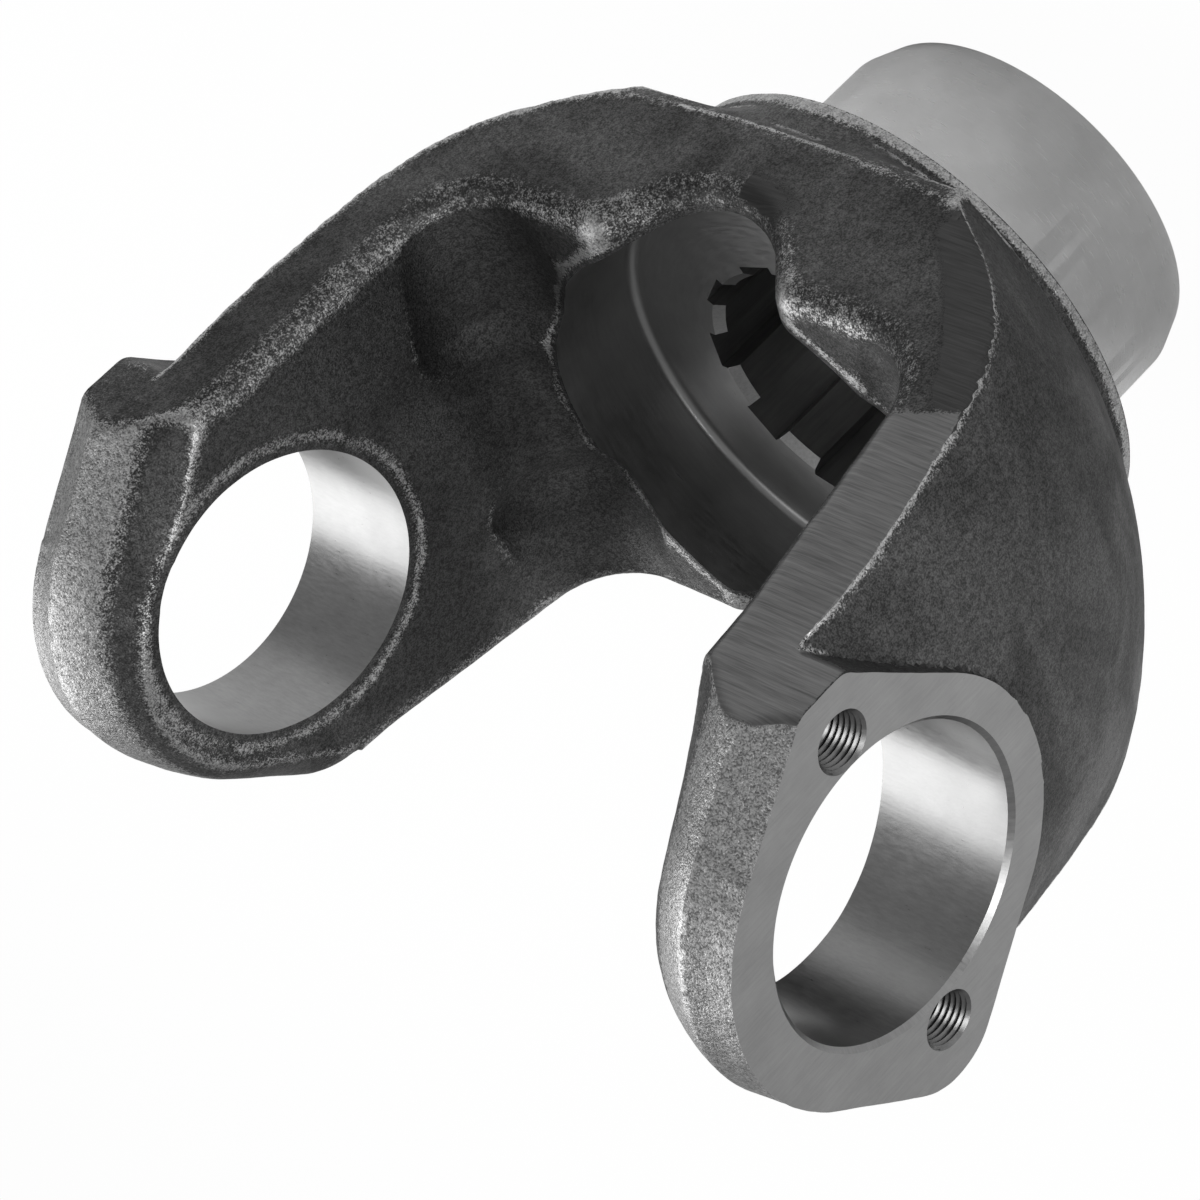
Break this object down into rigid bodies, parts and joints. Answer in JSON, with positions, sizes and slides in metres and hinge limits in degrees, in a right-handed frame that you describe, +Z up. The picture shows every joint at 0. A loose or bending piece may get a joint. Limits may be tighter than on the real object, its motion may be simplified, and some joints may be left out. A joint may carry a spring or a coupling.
{
  "type": "forged yoke",
  "caption": "Forged driveline yoke: two bored ears rise from a rounded bowl with a machined seat and a splined bore, over a turned hub.",
  "frame": {"origin": "centre of the hub's end face, on the spline axis, where the yoke stands", "axes": "+Z up along the spline axis from the hub end to the ears; X along the cross bore, through both ears; Y square to both, along the throat"},
  "size_m": [0.1548, 0.0936, 0.1604],
  "materials": {
    "steel": "forged and shot-blasted skin, with bores, ear faces, seat and hub machined"
  },
  "bodies": {
    "root": {"yoke": "steel"}
  },
  "joints": []
}
